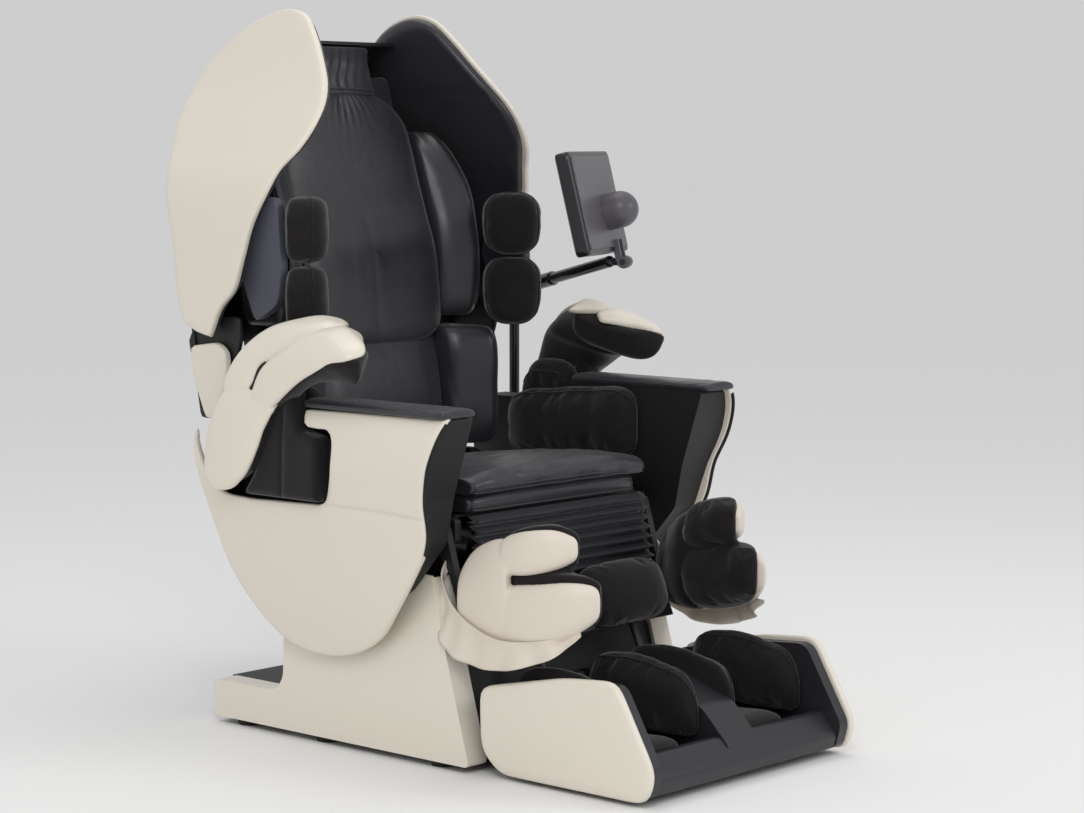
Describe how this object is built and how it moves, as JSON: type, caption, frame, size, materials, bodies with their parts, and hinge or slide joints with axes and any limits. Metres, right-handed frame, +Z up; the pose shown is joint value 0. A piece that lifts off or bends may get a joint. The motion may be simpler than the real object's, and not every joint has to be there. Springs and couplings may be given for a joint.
{
  "type": "massage chair",
  "caption": "Reclining massage chair on a box pedestal, with padded head hoods, wrapping arm and calf pads, a foot unit, a back roller carriage and a swivel control tablet.",
  "frame": {"origin": "on the floor, under the middle of the chair's overall width and length at rest", "axes": "+X to the sitter's left, +Y towards the back of the chair, so the sitter looks along -Y, and +Z up"},
  "size_m": [0.8644, 1.1526, 1.3],
  "materials": {
    "cream_shell": "smooth satin cream shell",
    "cream_leather": "fine matte cream synthetic leather over foam",
    "black_leather": "soft black synthetic leather with a low sheen",
    "black_fabric": "dark stretch fabric over air pads",
    "black_plastic": "fine textured black",
    "slate_leather": "slate grey synthetic leather",
    "foot_bezel": "satin dark grey moulding",
    "tablet_case": "satin grey case",
    "dark_frame": "black powder coat",
    "steel": "ground steel",
    "motor_grey": "cast housing",
    "rubber": "moulded rubber",
    "roller_plastic": "smooth dark plastic"
  },
  "bodies": {
    "base": {"base_frame": "dark_frame", "base_cover_left": "cream_shell", "base_cover_right": "cream_shell", "base_front_cover": "black_plastic", "base_rear_cover": "black_plastic", "power_inlet": "black_plastic", "rubber_feet": "rubber", "tilt_pins": "steel", "air_pump_and_valves": "black_plastic", "control_box": "dark_frame"},
    "rocker": {"power_rocker": "black_plastic"},
    "tilt_motor": {"tilt_actuator_motor": "motor_grey"},
    "tilt_rod": {"tilt_actuator_rod": "steel"},
    "cradle": {"cradle_frame": "dark_frame", "cradle_pins": "steel", "seat_cushion": "black_leather", "seat_flap": "black_leather", "seat_bellows": "black_leather", "side_panel_left": "cream_shell", "side_panel_right": "cream_shell", "side_body_left": "black_plastic", "side_body_right": "black_plastic", "arm_hood_left": "cream_leather", "arm_hood_right": "cream_leather", "armrest_pads": "black_leather", "arm_pads": "black_leather", "side_pads": "black_fabric", "tablet_post": "dark_frame"},
    "recline_motor": {"recline_actuator_motor": "motor_grey"},
    "recline_rod": {"recline_actuator_rod": "steel"},
    "back": {"back_frame": "dark_frame", "guide_rails": "steel", "back_shell": "black_plastic", "hood_left": "cream_shell", "hood_right": "cream_shell", "hood_liners": "black_leather", "back_cushion": "black_leather", "back_pad": "black_leather", "pad_strap": "black_leather", "back_bolsters": "black_leather", "shoulder_pads": "black_fabric", "wing_panels": "slate_leather", "low_side_covers": "cream_shell"},
    "massage_carriage": {"carriage_frame": "dark_frame", "knead_motor": "motor_grey"},
    "rocking_arms": {"roller_arms": "dark_frame"},
    "rollers_upper": {"upper_rollers": "roller_plastic"},
    "rollers_lower": {"lower_rollers": "roller_plastic"},
    "legrest_motor": {"legrest_actuator_motor": "motor_grey"},
    "legrest_rod": {"legrest_actuator_rod": "steel"},
    "legrest": {"legrest_frame": "dark_frame", "calf_cover_left": "cream_leather", "calf_cover_right": "cream_leather", "calf_pads": "black_fabric"},
    "foot": {"foot_housing": "foot_bezel", "foot_panels": "cream_shell", "foot_pads": "black_fabric"},
    "rollers_sole": {"sole_rollers": "roller_plastic"},
    "tablet_swing": {"tablet_arm": "dark_frame"},
    "tablet_tilt": {"tablet": "tablet_case"}
  },
  "joints": [
    {"name": "power_switch", "type": "hinge", "parent": "base", "child": "rocker", "pos_m": [0, 0.451, 0.045], "axis": [1, 0, 0], "range_deg": [-6, 6]},
    {"name": "cradle_tilt", "type": "hinge", "parent": "base", "child": "cradle", "pos_m": [0, 0.132, 0.405], "axis": [-1, 0, 0], "range_deg": [0, 20]},
    {"name": "tilt_motor_turn", "type": "hinge", "parent": "base", "child": "tilt_motor", "pos_m": [0, -0.03, 0.074], "axis": [1, 0, 0], "range_deg": [-0.5, 1.5]},
    {"name": "tilt_rod_travel", "type": "slide", "parent": "tilt_motor", "child": "tilt_rod", "axis": [0, 0.034, 0.9994], "range_m": [0, 0.056]},
    {"name": "recline", "type": "hinge", "parent": "cradle", "child": "back", "pos_m": [0, 0.332, 0.452], "axis": [-1, 0, 0], "range_deg": [0, 50]},
    {"name": "recline_motor_turn", "type": "hinge", "parent": "cradle", "child": "recline_motor", "pos_m": [-0.07, -0.02, 0.366], "axis": [1, 0, 0], "range_deg": [-0.5, 1.5]},
    {"name": "recline_rod_travel", "type": "slide", "parent": "recline_motor", "child": "recline_rod", "axis": [0, 0.9976, 0.0688], "range_m": [-0.0555, 0]},
    {"name": "carriage_travel", "type": "slide", "parent": "back", "child": "massage_carriage", "axis": [0, 0.2164, 0.9763], "range_m": [0, 0.385]},
    {"name": "arm_rock", "type": "hinge", "parent": "massage_carriage", "child": "rocking_arms", "pos_m": [0, 0.4044, 0.70826], "axis": [1, 0, 0], "range_deg": [-5, 5]},
    {"name": "upper_roller_spin", "type": "hinge", "parent": "rocking_arms", "child": "rollers_upper", "pos_m": [0, 0.39483, 0.7575], "axis": [1, 0, 0], "continuous": true},
    {"name": "lower_roller_spin", "type": "hinge", "parent": "rocking_arms", "child": "rollers_lower", "pos_m": [0, 0.37492, 0.66768], "axis": [1, 0, 0], "continuous": true},
    {"name": "legrest_lift", "type": "hinge", "parent": "cradle", "child": "legrest", "pos_m": [0, -0.096, 0.4], "axis": [-1, 0, 0], "range_deg": [0, 80], "deforming": ["seat_bellows"]},
    {"name": "legrest_motor_turn", "type": "hinge", "parent": "cradle", "child": "legrest_motor", "pos_m": [0.07, 0.2, 0.366], "axis": [1, 0, 0], "range_deg": [-0.5, 0.5]},
    {"name": "legrest_rod_travel", "type": "slide", "parent": "legrest_motor", "child": "legrest_rod", "axis": [0, -0.9999, 0.0111], "range_m": [0, 0.053]},
    {"name": "foot_travel", "type": "slide", "parent": "legrest", "child": "foot", "axis": [0, -0.4067, -0.9135], "range_m": [0, 0.09], "stiffness_N_per_m": 500, "springref_m": -0.4},
    {"name": "sole_roller_spin", "type": "hinge", "parent": "foot", "child": "rollers_sole", "pos_m": [0, -0.38, 0.042], "axis": [1, 0, 0], "continuous": true},
    {"name": "tablet_swing", "type": "hinge", "parent": "cradle", "child": "tablet_swing", "pos_m": [0.414, 0.357, 0.77], "axis": [0, 0, 1], "range_deg": [-5, 70]},
    {"name": "tablet_tilt", "type": "hinge", "parent": "tablet_swing", "child": "tablet_tilt", "pos_m": [0.311, -0.018, 0.839], "axis": [0.9143, 0.4051, 0], "range_deg": [-5, 30]}
  ],
  "couplings": [
    {"joint": "tilt_motor_turn", "follows": "cradle_tilt", "ratio": 0.043837},
    {"joint": "tilt_rod_travel", "follows": "cradle_tilt", "m_per_rad": 0.15501},
    {"joint": "recline_motor_turn", "follows": "recline", "ratio": 0.021453},
    {"joint": "recline_rod_travel", "follows": "recline", "m_per_rad": -0.062509},
    {"joint": "legrest_motor_turn", "follows": "legrest_lift", "ratio": 0.001259},
    {"joint": "legrest_rod_travel", "follows": "legrest_lift", "m_per_rad": 0.037251}
  ]
}
